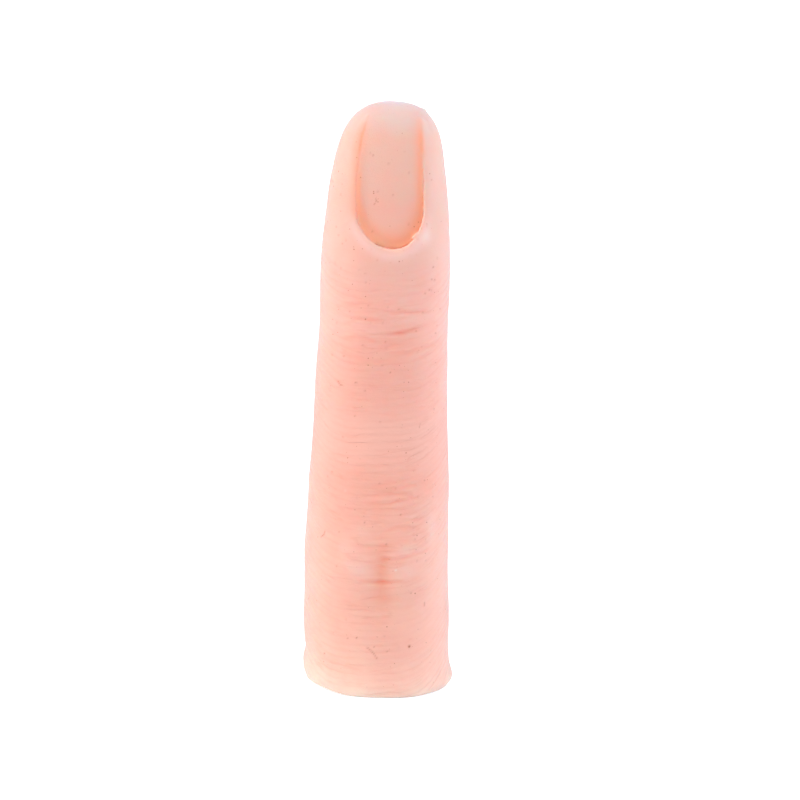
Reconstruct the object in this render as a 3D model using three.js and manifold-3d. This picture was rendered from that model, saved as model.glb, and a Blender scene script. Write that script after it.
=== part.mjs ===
// A silicone practice finger for nail work: soft skin cast round a jointed plastic core.
// Millimetres. +Z runs from the cut base to the fingertip, and the nail side faces -Y.
// The skin is one casting. It is modelled as five rings that meet face to face, because
// the two rings over the knuckles stretch and crease while the other three ride on the core.
import * as THREE from 'three';
import { mergeVertices } from 'three/addons/utils/BufferGeometryUtils.js';
import Module from 'manifold-3d';

const wasm = await Module();
wasm.setup();

// Lengths along the finger, joint to joint
const BASE_LENGTH = 19.5;
const MIDDLE_LENGTH = 31.5;
const TIP_LENGTH = 29;

// The skin's largest section, near the cut base
const FINGER_WIDTH = 20.3;
const FINGER_DEPTH = 18;
const BASE_EDGE = 0.6;
const DOME_HEIGHT = 8;

// How far the bending rings of skin reach each way from a joint's axis
const MIDDLE_KNUCKLE_REACH = 6.3;
const TIP_KNUCKLE_REACH = 4.6;

// Folds in the skin: deep creases on the pad side, shallow wrinkles on the back
const CREASE_DEPTH = 0.65;
const CREASE_WIDTH = 0.75;
const CREASE_SPACING = 2.4;
const WRINKLE_DEPTH = 0.2;
const WRINKLE_WIDTH = 0.6;
const WRINKLE_SPACING = 2.3;

// The socket that a nail tip slides into
const CUTICLE_RISE = 10.7;
const CUTICLE_ARCH = 4.9;
const NAIL_WIDTH = 8.8;
const NAIL_END_WIDTH = 6.4;
const BED_RADIUS = 12;
const BED_MARGIN = 1;
const SOCKET_THICKNESS = 0.55;
const FOLD_THICKNESS = 0.55;
const CUTICLE_POCKET = 2.4;
const SIDE_POCKET = 0.6;
const SIDE_POCKET_RISE = 11;

// The core: three bones, each joint a tongue between two ears
const MIDDLE_EAR_RADIUS = 4.2;
const TIP_EAR_RADIUS = 3.4;
const EAR_WALL = 2;
const TONGUE_WIDTH = 2.8;
const BASE_BONE_DEPTH = 7;
const MIDDLE_BONE_DEPTH = 5.8;
const TONGUE_STEP = 0.2;
const HINGE_PLAY = 0.3;
const SKIN_GAP = 0.3;

// Keys that hold the bones in the silicone
const ROOT_RADIUS = 3.6;
const FLANGE_WIDTH = 12.6;
const FLANGE_DEPTH = 10.4;
const FLANGE_THICKNESS = 1.8;
const FLANGE_RISE = 3;
const POCKET_WIDTH = 2.6;
const POCKET_DEPTH = 2;
const POCKET_MARGIN = 3.4;
const PADDLE_LENGTH = 21;
const PADDLE_WIDTH = 6.2;
const PADDLE_END_THICKNESS = 2;
const ANCHOR_HOLE_RADIUS = 1.2;
const ANCHOR_HOLE_RISE = 10.4;
const ANCHOR_HOLE_SPACING = 4.8;

// M2 hinge hardware
const SCREW_RADIUS = 1;
const SCREW_FIT = 0.15;
const SCREW_CHAMFER = 0.3;
const HEAD_RADIUS = 1.9;
const HEAD_HEIGHT = 1.3;
const DRIVE_WIDTH = 0.5;
const DRIVE_DEPTH = 0.7;
const DRIVE_REACH = 1.1;
const WASHER_RADIUS = 2.1;
const WASHER_THICKNESS = 0.5;
const WASHER_SPLIT = 0.4;
const NUT_ACROSS_FLATS = 4;
const NUT_THICKNESS = 1.6;
const HEAD_RECESS = 0.8;
const NUT_RECESS = 1;
const RECESS_FIT = 0.2;
const SEAT_GAP = 0.05;
const SCREW_OVERRUN = 0.4;

// Levels and sides of the faceted surfaces
const RING_SIDES = 44;
const BED_SIDES = 40;
const ROUND_SIDES = 32;
const HEX_SIDES = 6;
const SHAFT_STEP = 2.2;
const KNUCKLE_STEP = 0.58;
const DOME_LEVELS = 12;
const EDGE_LEVELS = 4;

// What follows from the sizes above
const MIDDLE_JOINT = BASE_LENGTH;
const TIP_JOINT = MIDDLE_JOINT + MIDDLE_LENGTH;
const FINGER_LENGTH = TIP_JOINT + TIP_LENGTH;
const CORE_WIDTH = TONGUE_WIDTH + 2 * (HINGE_PLAY + EAR_WALL);
const CUT_OVERRUN = FINGER_DEPTH;

// Half sections of the skin at stations along each segment, as shares of the segment's length,
// of half the finger's width, and of half its depth for the back, the pad and the centre's drop.
const baseShares = [
  [0, 0.99, 0.978, 0.989, 0],
  [0.08, 1, 0.995, 1, 0],
  [0.225, 0.977, 0.967, 0.972, 0],
  [0.46, 0.977, 0.972, 0.978, 0],
  [0.7, 0.967, 0.978, 0.944, 0],
  [1, 0.963, 0.989, 0.9, 0],
];
const middleShares = [
  [0.14, 0.951, 0.944, 0.944, 0],
  [0.28, 0.938, 0.894, 0.978, 0],
  [0.46, 0.904, 0.856, 0.967, 0],
  [0.65, 0.885, 0.833, 0.911, 0],
  [0.84, 0.867, 0.822, 0.844, 0],
  [1, 0.851, 0.828, 0.778, 0],
];
const tipShares = [
  [0.15, 0.855, 0.811, 0.822, 0],
  [0.31, 0.847, 0.772, 0.867, 0.01],
  [0.48, 0.81, 0.711, 0.867, 0.025],
  [0.64, 0.761, 0.628, 0.822, 0.045],
  [0.724, 0.721, 0.561, 0.778, 0.06],
  [1, 0.586, 0.356, 0.511, 0.11],
];
const BACK_POWER = 2.35;
const PAD_POWER = 2.1;
const DOME_POWER = 2.9;

const stations = [
  ...baseShares.map((row) => [row[0] * BASE_LENGTH, ...row.slice(1)]),
  ...middleShares.map((row) => [MIDDLE_JOINT + row[0] * MIDDLE_LENGTH, ...row.slice(1)]),
  ...tipShares.map((row) => [TIP_JOINT + row[0] * TIP_LENGTH, ...row.slice(1)]),
];
const skinProfile = new THREE.CubicInterpolant(
  stations.map((row) => row[0]),
  stations.flatMap((row) => [
    (row[1] * FINGER_WIDTH) / 2,
    (row[2] * FINGER_DEPTH) / 2,
    (row[3] * FINGER_DEPTH) / 2,
    (row[4] * FINGER_DEPTH) / 2,
  ]),
  4,
);

// Half width, back depth, pad depth and centre of the skin's section at a height
function sectionAt(height) {
  const [width, back, pad, centre] = skinProfile.evaluate(height);
  const fromTop = Math.min((FINGER_LENGTH - height) / DOME_HEIGHT, 1);
  const dome = (1 - (1 - fromTop) ** DOME_POWER) ** (1 / DOME_POWER);
  const rise = Math.min(height / BASE_EDGE, 1);
  const edge = BASE_EDGE * (1 - Math.sqrt(1 - (1 - rise) ** 2));
  return { width: width * dome - edge, back: back * dome - edge, pad: pad * dome - edge, centre };
}

// How far the creases and wrinkles draw the skin in, at a height and a direction round the finger
const folds = [MIDDLE_JOINT, TIP_JOINT].flatMap((joint, order) => [
  ...(order === 0 ? [-0.5, 0.5] : [0]).map((place) => ({
    height: joint + place * CREASE_SPACING, depth: CREASE_DEPTH, width: CREASE_WIDTH, side: 1,
  })),
  ...[-1, 0, 1].map((place) => ({
    height: joint + place * WRINKLE_SPACING, depth: WRINKLE_DEPTH, width: WRINKLE_WIDTH, side: -1,
  })),
]);
function foldInset(height, direction) {
  return folds.reduce((inset, fold) => {
    const facing = THREE.MathUtils.smoothstep(fold.side * Math.sin(direction), 0, 1);
    return inset + fold.depth * facing * Math.exp(-(((height - fold.height) / fold.width) ** 2));
  }, 0);
}

function skinRing(height) {
  const { width, back, pad, centre } = sectionAt(height);
  return Array.from({ length: RING_SIDES }, (_, i) => {
    const direction = (2 * Math.PI * i) / RING_SIDES;
    const across = Math.cos(direction);
    const away = Math.sin(direction);
    const [depth, power] = away > 0 ? [pad, PAD_POWER] : [back, BACK_POWER];
    const point = new THREE.Vector2(
      width * Math.sign(across) * Math.abs(across) ** (2 / power),
      depth * Math.sign(away) * Math.abs(away) ** (2 / power),
    );
    const inset = Math.min(foldInset(height, direction), point.length() / 2);
    point.setLength(point.length() - inset);
    return new THREE.Vector3(point.x, centre + point.y, height);
  });
}

// Evenly spaced heights from low to high, no further apart than step
function levels(low, high, step) {
  const count = Math.max(Math.round((high - low) / step), 1);
  return Array.from({ length: count + 1 }, (_, i) => low + ((high - low) * i) / count);
}

// Joins a stack of rings, each anticlockwise seen from +Z, into one closed body
function loft(rings) {
  const sides = rings[0].length;
  const points = rings.flat();
  const faces = [];
  for (let level = 0; level + 1 < rings.length; level++) {
    for (let i = 0; i < sides; i++) {
      const here = level * sides + i;
      const next = level * sides + ((i + 1) % sides);
      faces.push(here, next, next + sides, here, next + sides, here + sides);
    }
  }
  const closeEnd = (ring, start, facesUp) => {
    const middle = points.length;
    points.push(ring.reduce((sum, p) => sum.add(p), new THREE.Vector3()).divideScalar(sides));
    for (let i = 0; i < sides; i++) {
      const [a, b] = [start + i, start + ((i + 1) % sides)];
      faces.push(...(facesUp ? [middle, a, b] : [middle, b, a]));
    }
  };
  closeEnd(rings[0], 0, false);
  closeEnd(rings.at(-1), (rings.length - 1) * sides, true);
  return new THREE.BufferGeometry().setFromPoints(points).setIndex(faces);
}

// A closed geometry as a solid that can be cut and joined, and back again
function solid(geometry) {
  const bare = geometry.clone();
  bare.deleteAttribute('normal');
  bare.deleteAttribute('uv');
  const merged = mergeVertices(bare);
  return new wasm.Manifold(new wasm.Mesh({
    numProp: 3,
    vertProperties: merged.attributes.position.array,
    triVerts: new Uint32Array(merged.index.array),
  }));
}
function geometryOf(body) {
  const { vertProperties, triVerts } = body.getMesh();
  const geometry = new THREE.BufferGeometry();
  geometry.setAttribute('position', new THREE.BufferAttribute(new Float32Array(vertProperties), 3));
  geometry.setIndex(new THREE.BufferAttribute(new Uint32Array(triVerts), 1));
  const faceted = geometry.toNonIndexed();
  faceted.computeVertexNormals();
  return faceted;
}

// An outline drawn in (y, z), extruded across the finger to the same width each side of its middle
const ACROSS = new THREE.Matrix4().makeBasis(
  new THREE.Vector3(0, 1, 0), new THREE.Vector3(0, 0, 1), new THREE.Vector3(1, 0, 0),
);
function plateAcross(outline, width, middle = 0) {
  const geometry = new THREE.ExtrudeGeometry(outline, {
    depth: width, bevelEnabled: false, curveSegments: ROUND_SIDES / 2,
  });
  return solid(geometry.translate(0, 0, middle - width / 2).applyMatrix4(ACROSS));
}

// An outline drawn in (x, z), extruded from y = back to y = front
const TO_BACK = new THREE.Matrix4().makeBasis(
  new THREE.Vector3(1, 0, 0), new THREE.Vector3(0, 0, 1), new THREE.Vector3(0, -1, 0),
);
function plateThrough(outline, back, front) {
  const geometry = new THREE.ExtrudeGeometry(outline, {
    depth: front - back, bevelEnabled: false, curveSegments: ROUND_SIDES / 2,
  });
  return solid(geometry.translate(0, 0, -front).applyMatrix4(TO_BACK));
}

function disc(radius, height = 0) {
  return new THREE.Shape().absarc(0, height, radius, 0, 2 * Math.PI);
}
function rectangle(left, low, right, high) {
  return new THREE.Shape([
    new THREE.Vector2(left, low),
    new THREE.Vector2(right, low),
    new THREE.Vector2(right, high),
    new THREE.Vector2(left, high),
  ]);
}
function obround(halfWidth, low, high) {
  return new THREE.Shape()
    .absarc(0, high - halfWidth, halfWidth, 0, Math.PI)
    .absarc(0, low + halfWidth, halfWidth, Math.PI, 2 * Math.PI);
}

// Nail socket. The bed is a shallow arch, deepest at the cuticle, that runs out at the fingertip.
const CUTICLE = TIP_JOINT + CUTICLE_RISE;
const POCKET_END = CUTICLE - CUTICLE_POCKET;
const BED_END = FINGER_LENGTH - BED_MARGIN;
function bedCrest(height) {
  const { back, centre } = sectionAt(Math.min(height, BED_END));
  const left = (BED_END - Math.max(height, CUTICLE)) / (BED_END - CUTICLE);
  return centre - back + (FOLD_THICKNESS + SOCKET_THICKNESS) * left;
}
function bedBody(thickness) {
  const radius = BED_RADIUS + thickness;
  return solid(loft(levels(POCKET_END, FINGER_LENGTH + BED_MARGIN, SHAFT_STEP).map((height) =>
    Array.from({ length: BED_SIDES }, (_, i) => {
      const direction = (2 * Math.PI * i) / BED_SIDES;
      return new THREE.Vector3(
        radius * Math.cos(direction),
        bedCrest(height) + BED_RADIUS + radius * Math.sin(direction),
        height,
      );
    }))));
}
// A nail's outline: an arch at the cuticle, and sides that curve in as far as taperEnd
function nailOutline(halfWidth, low, endHalfWidth, taperEnd) {
  const top = FINGER_LENGTH + BED_MARGIN;
  const archEnd = low + CUTICLE_ARCH;
  const bend = (archEnd + taperEnd) / 2;
  return new THREE.Shape()
    .moveTo(halfWidth, archEnd)
    .quadraticCurveTo(halfWidth, bend, endHalfWidth, taperEnd)
    .lineTo(endHalfWidth, top)
    .lineTo(-endHalfWidth, top)
    .lineTo(-endHalfWidth, taperEnd)
    .quadraticCurveTo(-halfWidth, bend, -halfWidth, archEnd)
    .absellipse(0, archEnd, halfWidth, CUTICLE_ARCH, Math.PI, 2 * Math.PI);
}
function nailSocket() {
  const underFolds = plateThrough(nailOutline(
    NAIL_WIDTH / 2 + SIDE_POCKET, POCKET_END, NAIL_END_WIDTH / 2, CUTICLE + SIDE_POCKET_RISE,
  ), -CUT_OVERRUN, 0).intersect(bedBody(SOCKET_THICKNESS));
  const opening = plateThrough(
    nailOutline(NAIL_WIDTH / 2, CUTICLE, NAIL_END_WIDTH / 2, BED_END), -CUT_OVERRUN, 0,
  );
  return underFolds.add(opening).subtract(bedBody(0));
}

// Bones. Each is drawn grown by a margin, so that the same outlines also shape the skin's inside.
function forkOutline(joint, earRadius, depth, low, grow) {
  const [half, radius] = [depth / 2 + grow, earRadius + grow];
  return new THREE.Shape()
    .moveTo(-radius, low)
    .lineTo(half, low)
    .lineTo(half, joint - Math.sqrt(radius ** 2 - half ** 2))
    .absarc(0, joint, radius, -Math.acos(half / radius), Math.PI / 2)
    .lineTo(-radius, joint + radius);
}
function forkSlot(joint, earRadius) {
  const width = TONGUE_WIDTH + 2 * HINGE_PLAY;
  const radius = earRadius - TONGUE_STEP + HINGE_PLAY;
  const reach = earRadius + CUT_OVERRUN;
  return plateAcross(disc(radius, joint), width)
    .add(plateAcross(rectangle(-reach, joint, reach, joint + reach), width));
}
function neck(joint, half, top, width) {
  return plateAcross(rectangle(-half, joint, half, top), width);
}
function tongue(joint, earRadius, neckHalf, top) {
  return plateAcross(disc(earRadius - TONGUE_STEP, joint), TONGUE_WIDTH)
    .add(neck(joint, neckHalf, top, TONGUE_WIDTH));
}
function screwHole(joint) {
  return plateAcross(disc(SCREW_RADIUS + SCREW_FIT, joint), CORE_WIDTH + CUT_OVERRUN);
}
function hexCorner(acrossFlats) {
  return acrossFlats / (2 * Math.cos(Math.PI / HEX_SIDES));
}
function hexagon(acrossFlats, height) {
  const corner = hexCorner(acrossFlats);
  return new THREE.Shape(Array.from({ length: HEX_SIDES }, (_, i) => {
    const direction = (2 * Math.PI * i) / HEX_SIDES;
    return new THREE.Vector2(corner * Math.cos(direction), height + corner * Math.sin(direction));
  }));
}
function hingeSeats(joint) {
  const face = CORE_WIDTH / 2;
  return plateAcross(disc(WASHER_RADIUS + RECESS_FIT, joint), 2 * HEAD_RECESS, -face)
    .add(plateAcross(hexagon(NUT_ACROSS_FLATS + RECESS_FIT, joint), 2 * NUT_RECESS, face))
    .add(screwHole(joint));
}

function baseBone(grow = 0) {
  const flangeTop = FLANGE_RISE + FLANGE_THICKNESS;
  const flange = new THREE.ExtrudeGeometry(
    new THREE.Shape().absellipse(0, 0, FLANGE_WIDTH / 2 + grow, FLANGE_DEPTH / 2 + grow, 0, 2 * Math.PI),
    { depth: FLANGE_THICKNESS + 2 * grow, bevelEnabled: false, curveSegments: ROUND_SIDES / 2 },
  ).translate(0, 0, FLANGE_RISE - grow);
  const root = new THREE.CylinderGeometry(
    ROOT_RADIUS + grow, ROOT_RADIUS + grow, flangeTop + grow, ROUND_SIDES,
  ).rotateX(Math.PI / 2).translate(0, 0, (flangeTop + grow) / 2 - grow);
  const shaft = forkOutline(MIDDLE_JOINT, MIDDLE_EAR_RADIUS, BASE_BONE_DEPTH, flangeTop - HINGE_PLAY, grow);
  const body = plateAcross(shaft, CORE_WIDTH + 2 * grow).add(solid(flange)).add(solid(root));
  if (grow) return body;
  return body.subtract(forkSlot(MIDDLE_JOINT, MIDDLE_EAR_RADIUS)).subtract(hingeSeats(MIDDLE_JOINT));
}

function middleBone(grow = 0) {
  const half = MIDDLE_BONE_DEPTH / 2;
  const shoulder = MIDDLE_JOINT + MIDDLE_EAR_RADIUS + HINGE_PLAY;
  const shaft = forkOutline(TIP_JOINT, TIP_EAR_RADIUS, MIDDLE_BONE_DEPTH, shoulder - grow, grow);
  const pocketOutline = obround(
    POCKET_WIDTH / 2 - grow,
    shoulder + POCKET_MARGIN + grow,
    TIP_JOINT - TIP_EAR_RADIUS - POCKET_MARGIN - grow,
  );
  const pockets = [-1, 1].map((side) => plateAcross(
    pocketOutline, 2 * POCKET_DEPTH, side * (CORE_WIDTH / 2 + grow),
  ));
  const body = plateAcross(shaft, CORE_WIDTH + 2 * grow).subtract(pockets[0]).subtract(pockets[1]);
  if (grow) return body.add(neck(MIDDLE_JOINT, half + grow, shoulder, CORE_WIDTH + 2 * grow));
  return body
    .subtract(forkSlot(TIP_JOINT, TIP_EAR_RADIUS))
    .subtract(hingeSeats(TIP_JOINT))
    .add(tongue(MIDDLE_JOINT, MIDDLE_EAR_RADIUS, half, shoulder + HINGE_PLAY))
    .subtract(screwHole(MIDDLE_JOINT));
}

function tipBone(grow = 0) {
  const shoulder = TIP_JOINT + TIP_EAR_RADIUS + HINGE_PLAY;
  const half = MIDDLE_BONE_DEPTH / 2 - TONGUE_STEP + grow;
  const endHalf = PADDLE_END_THICKNESS / 2 + grow;
  const end = TIP_JOINT + PADDLE_LENGTH;
  const side = new THREE.Shape()
    .moveTo(-half, shoulder - grow)
    .lineTo(half, shoulder - grow)
    .lineTo(endHalf, end - PADDLE_END_THICKNESS / 2)
    .absarc(0, end - PADDLE_END_THICKNESS / 2, endHalf, 0, Math.PI);
  const plan = new THREE.Shape()
    .moveTo(-CORE_WIDTH / 2 - grow, shoulder - grow)
    .lineTo(CORE_WIDTH / 2 + grow, shoulder - grow)
    .lineTo(PADDLE_WIDTH / 2 + grow, end - PADDLE_WIDTH / 2)
    .absarc(0, end - PADDLE_WIDTH / 2, PADDLE_WIDTH / 2 + grow, 0, Math.PI);
  let body = plateAcross(side, CORE_WIDTH + CUT_OVERRUN)
    .intersect(plateThrough(plan, -FINGER_DEPTH / 2, FINGER_DEPTH / 2));
  for (const row of [0, 1]) {
    const hole = disc(ANCHOR_HOLE_RADIUS - grow, TIP_JOINT + ANCHOR_HOLE_RISE + row * ANCHOR_HOLE_SPACING);
    body = body.subtract(plateThrough(hole, -FINGER_DEPTH, FINGER_DEPTH));
  }
  if (grow) return body.add(neck(TIP_JOINT, half, shoulder, CORE_WIDTH + 2 * grow));
  return body
    .add(tongue(TIP_JOINT, TIP_EAR_RADIUS, half, shoulder + HINGE_PLAY))
    .subtract(screwHole(TIP_JOINT));
}

// Hinge hardware, each piece drawn about the joint's axis with the screw's head at -X.
// The head's rounded side is given as shares of its radius and height, from its top down.
const headShares = [
  [0.6, 0.08], [0.92, 0.4], [1, 0.75], [1, 1],
];
const TO_AXIS = new THREE.Matrix4().makeRotationZ(-Math.PI / 2);
function turned(profile) {
  return solid(new THREE.LatheGeometry(
    profile.map(([radius, along]) => new THREE.Vector2(radius, along)), ROUND_SIDES / 2,
  ).applyMatrix4(TO_AXIS));
}
const washerSeat = HEAD_RECESS - CORE_WIDTH / 2 - SEAT_GAP;
const headSeat = washerSeat - WASHER_THICKNESS - SEAT_GAP;
const nutSeat = CORE_WIDTH / 2 - NUT_RECESS + SEAT_GAP;
const screwEnd = nutSeat + NUT_THICKNESS + SCREW_OVERRUN;
const headTop = headSeat - HEAD_HEIGHT;

function hingeScrew() {
  const body = turned([
    [0, headTop],
    ...headShares.map(([out, along]) => [HEAD_RADIUS * out, headTop + HEAD_HEIGHT * along]),
    [SCREW_RADIUS, headSeat],
    [SCREW_RADIUS, screwEnd - SCREW_CHAMFER],
    [SCREW_RADIUS - SCREW_CHAMFER, screwEnd],
    [0, screwEnd],
  ]);
  const drive = [[DRIVE_WIDTH, 2 * DRIVE_REACH], [2 * DRIVE_REACH, DRIVE_WIDTH]].map(([deep, high]) =>
    solid(new THREE.BoxGeometry(2 * DRIVE_DEPTH, deep, high).translate(headTop, 0, 0)));
  return body.subtract(drive[0]).subtract(drive[1]);
}
function hingeWasher() {
  const bore = SCREW_RADIUS + SCREW_FIT;
  const ring = turned([
    [bore, washerSeat - WASHER_THICKNESS],
    [WASHER_RADIUS, washerSeat - WASHER_THICKNESS],
    [WASHER_RADIUS, washerSeat],
    [bore, washerSeat],
    [bore, washerSeat - WASHER_THICKNESS],
  ]);
  const split = new THREE.BoxGeometry(CORE_WIDTH, WASHER_SPLIT, WASHER_RADIUS + SCREW_RADIUS)
    .translate(washerSeat, 0, (WASHER_RADIUS + SCREW_RADIUS) / 2);
  return ring.subtract(solid(split));
}
function hingeNut() {
  const corner = hexCorner(NUT_ACROSS_FLATS);
  const chamfer = corner - NUT_ACROSS_FLATS / 2;
  const rounded = turned([
    [0, nutSeat],
    [NUT_ACROSS_FLATS / 2, nutSeat],
    [corner, nutSeat + chamfer],
    [corner, nutSeat + NUT_THICKNESS - chamfer],
    [NUT_ACROSS_FLATS / 2, nutSeat + NUT_THICKNESS],
    [0, nutSeat + NUT_THICKNESS],
  ]);
  const middle = nutSeat + NUT_THICKNESS / 2;
  return plateAcross(hexagon(NUT_ACROSS_FLATS, 0), NUT_THICKNESS, middle)
    .intersect(rounded)
    .subtract(plateAcross(disc(SCREW_RADIUS + SCREW_FIT), 2 * NUT_THICKNESS, middle));
}

// The room that the core and its hardware take inside the skin
function coreRoom() {
  const hardware = screwEnd - headTop + 2 * SKIN_GAP;
  const room = (joint) => plateAcross(
    disc(WASHER_RADIUS + RECESS_FIT + SKIN_GAP, joint), hardware, (screwEnd + headTop) / 2,
  );
  return baseBone(SKIN_GAP)
    .add(middleBone(SKIN_GAP))
    .add(tipBone(SKIN_GAP))
    .add(room(MIDDLE_JOINT))
    .add(room(TIP_JOINT));
}
const core = coreRoom();
const skinBetween = (heights) => solid(loft(heights.map(skinRing))).subtract(core);

const middleKnuckleLow = MIDDLE_JOINT - MIDDLE_KNUCKLE_REACH;
const middleKnuckleHigh = MIDDLE_JOINT + MIDDLE_KNUCKLE_REACH;
const tipKnuckleLow = TIP_JOINT - TIP_KNUCKLE_REACH;
const tipKnuckleHigh = TIP_JOINT + TIP_KNUCKLE_REACH;
const edgeHeights = Array.from({ length: EDGE_LEVELS }, (_, i) =>
  BASE_EDGE * (1 - Math.cos((i * Math.PI) / (2 * EDGE_LEVELS))));
const domeHeights = Array.from({ length: DOME_LEVELS }, (_, i) =>
  FINGER_LENGTH - DOME_HEIGHT * (1 - (i + 1) / (DOME_LEVELS + 1)) ** 2);

const baseSkin = skinBetween([...edgeHeights, ...levels(BASE_EDGE, middleKnuckleLow, SHAFT_STEP)]);
const middleKnuckleSkin = skinBetween(levels(middleKnuckleLow, middleKnuckleHigh, KNUCKLE_STEP));
const middleSkin = skinBetween(levels(middleKnuckleHigh, tipKnuckleLow, SHAFT_STEP));
const tipKnuckleSkin = skinBetween(levels(tipKnuckleLow, tipKnuckleHigh, KNUCKLE_STEP));
const fingertipSkin = skinBetween([
  ...levels(tipKnuckleHigh, FINGER_LENGTH - DOME_HEIGHT, SHAFT_STEP), ...domeHeights,
]).subtract(nailSocket());

// The assembly: each moving part of the finger is a group whose origin is on its joint's axis
const silicone = () => new THREE.MeshStandardMaterial({ color: '#f4b9a8', roughness: 0.55, metalness: 0 });
const plastic = () => new THREE.MeshStandardMaterial({ color: '#e8e2d2', roughness: 0.45, metalness: 0 });
const steel = () => new THREE.MeshStandardMaterial({ color: '#b4b7ba', roughness: 0.3, metalness: 1 });

function piece(name, body, material, frameHeight = 0) {
  const mesh = new THREE.Mesh(geometryOf(body).translate(0, 0, -frameHeight), material);
  mesh.name = name;
  return mesh;
}
function hinge(name) {
  const group = new THREE.Group();
  group.add(
    piece(`${name}_hinge_screw`, hingeScrew(), steel()),
    piece(`${name}_hinge_washer`, hingeWasher(), steel()),
    piece(`${name}_hinge_nut`, hingeNut(), steel()),
  );
  return group;
}

const tipPart = new THREE.Group();
tipPart.position.z = MIDDLE_LENGTH;
tipPart.add(
  piece('tip_bone', tipBone(), plastic(), TIP_JOINT),
  piece('fingertip_skin', fingertipSkin, silicone(), TIP_JOINT),
);

const tipHinge = hinge('tip');
tipHinge.position.z = MIDDLE_LENGTH;
const middlePart = new THREE.Group();
middlePart.position.z = MIDDLE_JOINT;
middlePart.add(
  piece('middle_bone', middleBone(), plastic(), MIDDLE_JOINT),
  piece('middle_skin', middleSkin, silicone(), MIDDLE_JOINT),
  piece('tip_knuckle_skin', tipKnuckleSkin, silicone(), MIDDLE_JOINT),
  tipHinge,
  tipPart,
);

const middleHinge = hinge('middle');
middleHinge.position.z = MIDDLE_JOINT;
const finger = new THREE.Group();
finger.add(
  piece('base_bone', baseBone(), plastic()),
  piece('base_skin', baseSkin, silicone()),
  piece('middle_knuckle_skin', middleKnuckleSkin, silicone()),
  middleHinge,
  middlePart,
);

export default finger;
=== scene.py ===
import math

import bpy
import numpy as np
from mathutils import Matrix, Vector, noise


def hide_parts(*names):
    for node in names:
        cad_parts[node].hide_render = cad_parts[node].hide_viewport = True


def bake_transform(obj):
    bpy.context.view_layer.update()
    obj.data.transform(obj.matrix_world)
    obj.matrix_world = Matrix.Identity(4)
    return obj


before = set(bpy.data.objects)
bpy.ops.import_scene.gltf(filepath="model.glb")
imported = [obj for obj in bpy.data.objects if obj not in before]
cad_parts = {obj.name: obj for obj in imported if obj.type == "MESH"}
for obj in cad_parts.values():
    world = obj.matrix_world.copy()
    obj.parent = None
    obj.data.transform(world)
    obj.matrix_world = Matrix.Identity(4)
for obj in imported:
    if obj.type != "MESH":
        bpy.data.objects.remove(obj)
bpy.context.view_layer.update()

MM = 0.001

# Bones. The core is three injection-moulded pieces in uncoloured ABS: a base bone with its
# root and anchor flange, a middle bone, and a tip bone with a paddle. Each moves in the fork
# of the one before. The silicone hides all of them but the root's end, in the cut base.


def linear(hex_colour):
    """An sRGB colour in hex as linear red, green and blue, with full alpha."""
    parts = [int(hex_colour[i:i + 2], 16) / 255 for i in (1, 3, 5)]
    return [c / 12.92 if c <= 0.04045 else ((c + 0.055) / 1.055) ** 2.4 for c in parts] + [1]


def pick(sockets, key):
    """The socket with a number, or the one in use with a name."""
    if isinstance(key, int):
        return sockets[key]
    return next(socket for socket in sockets if socket.enabled and socket.name == key)


def add_node(tree, kind, inputs=None, **settings):
    """A node. Each input is a number or numbers, a colour in hex, or another node's output."""
    made = tree.nodes.new(kind)
    for name, value in settings.items():
        setattr(made, name, value)
    for key, value in (inputs or {}).items():
        if isinstance(value, bpy.types.NodeSocket):
            tree.links.new(value, pick(made.inputs, key))
        else:
            pick(made.inputs, key).default_value = linear(value) if isinstance(value, str) else value
    return made


def calculate(tree, operation, *terms):
    """A sum, a product or the like of numbers and outputs."""
    return add_node(tree, "ShaderNodeMath", dict(enumerate(terms)), operation=operation).outputs[0]


def spread(tree, value, low, high, to_low=0.0, to_high=1.0, shape="LINEAR"):
    """A value moved from one range to another and kept inside it."""
    inputs = {"Value": value, "From Min": low, "From Max": high, "To Min": to_low, "To Max": to_high}
    return add_node(tree, "ShaderNodeMapRange", inputs, interpolation_type=shape).outputs["Result"]


def mix(tree, share, first, second):
    """Two colours mixed, where share is the second one's part."""
    inputs = {"Factor": share, "A": first, "B": second}
    return pick(add_node(tree, "ShaderNodeMix", inputs, data_type="RGBA").outputs, "Result")


def add_noise(tree, place, size, detail, roughness=0.5):
    """Smooth noise with forms of about a given size."""
    inputs = {"Vector": place, "Scale": 1 / size, "Detail": detail, "Roughness": roughness}
    return add_node(tree, "ShaderNodeTexNoise", inputs)


def wave_scale(pitch):
    """The scale at which a wave texture's bands are a pitch apart."""
    return math.pi / 10 / pitch


def bump(tree, height, depth, below=None, strength=1.0, invert=False):
    """The normal that a height gives, on top of the one below it."""
    inputs = {"Height": height, "Distance": depth, "Strength": strength}
    if below is not None:
        inputs["Normal"] = below
    return add_node(tree, "ShaderNodeBump", inputs, invert=invert).outputs["Normal"]


def start_material(name):
    """A new material, with no nodes in it yet."""
    material = bpy.data.materials.new(name)
    material.use_nodes = True
    material.node_tree.nodes.clear()
    return material, material.node_tree


def finish_material(tree, inputs):
    """Puts a surface with these inputs on a material."""
    surface = add_node(tree, "ShaderNodeBsdfPrincipled", inputs)
    add_node(tree, "ShaderNodeOutputMaterial", {"Surface": surface.outputs["BSDF"]})


def coat(obj, material):
    obj.data.materials.clear()
    obj.data.materials.append(material)


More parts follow.
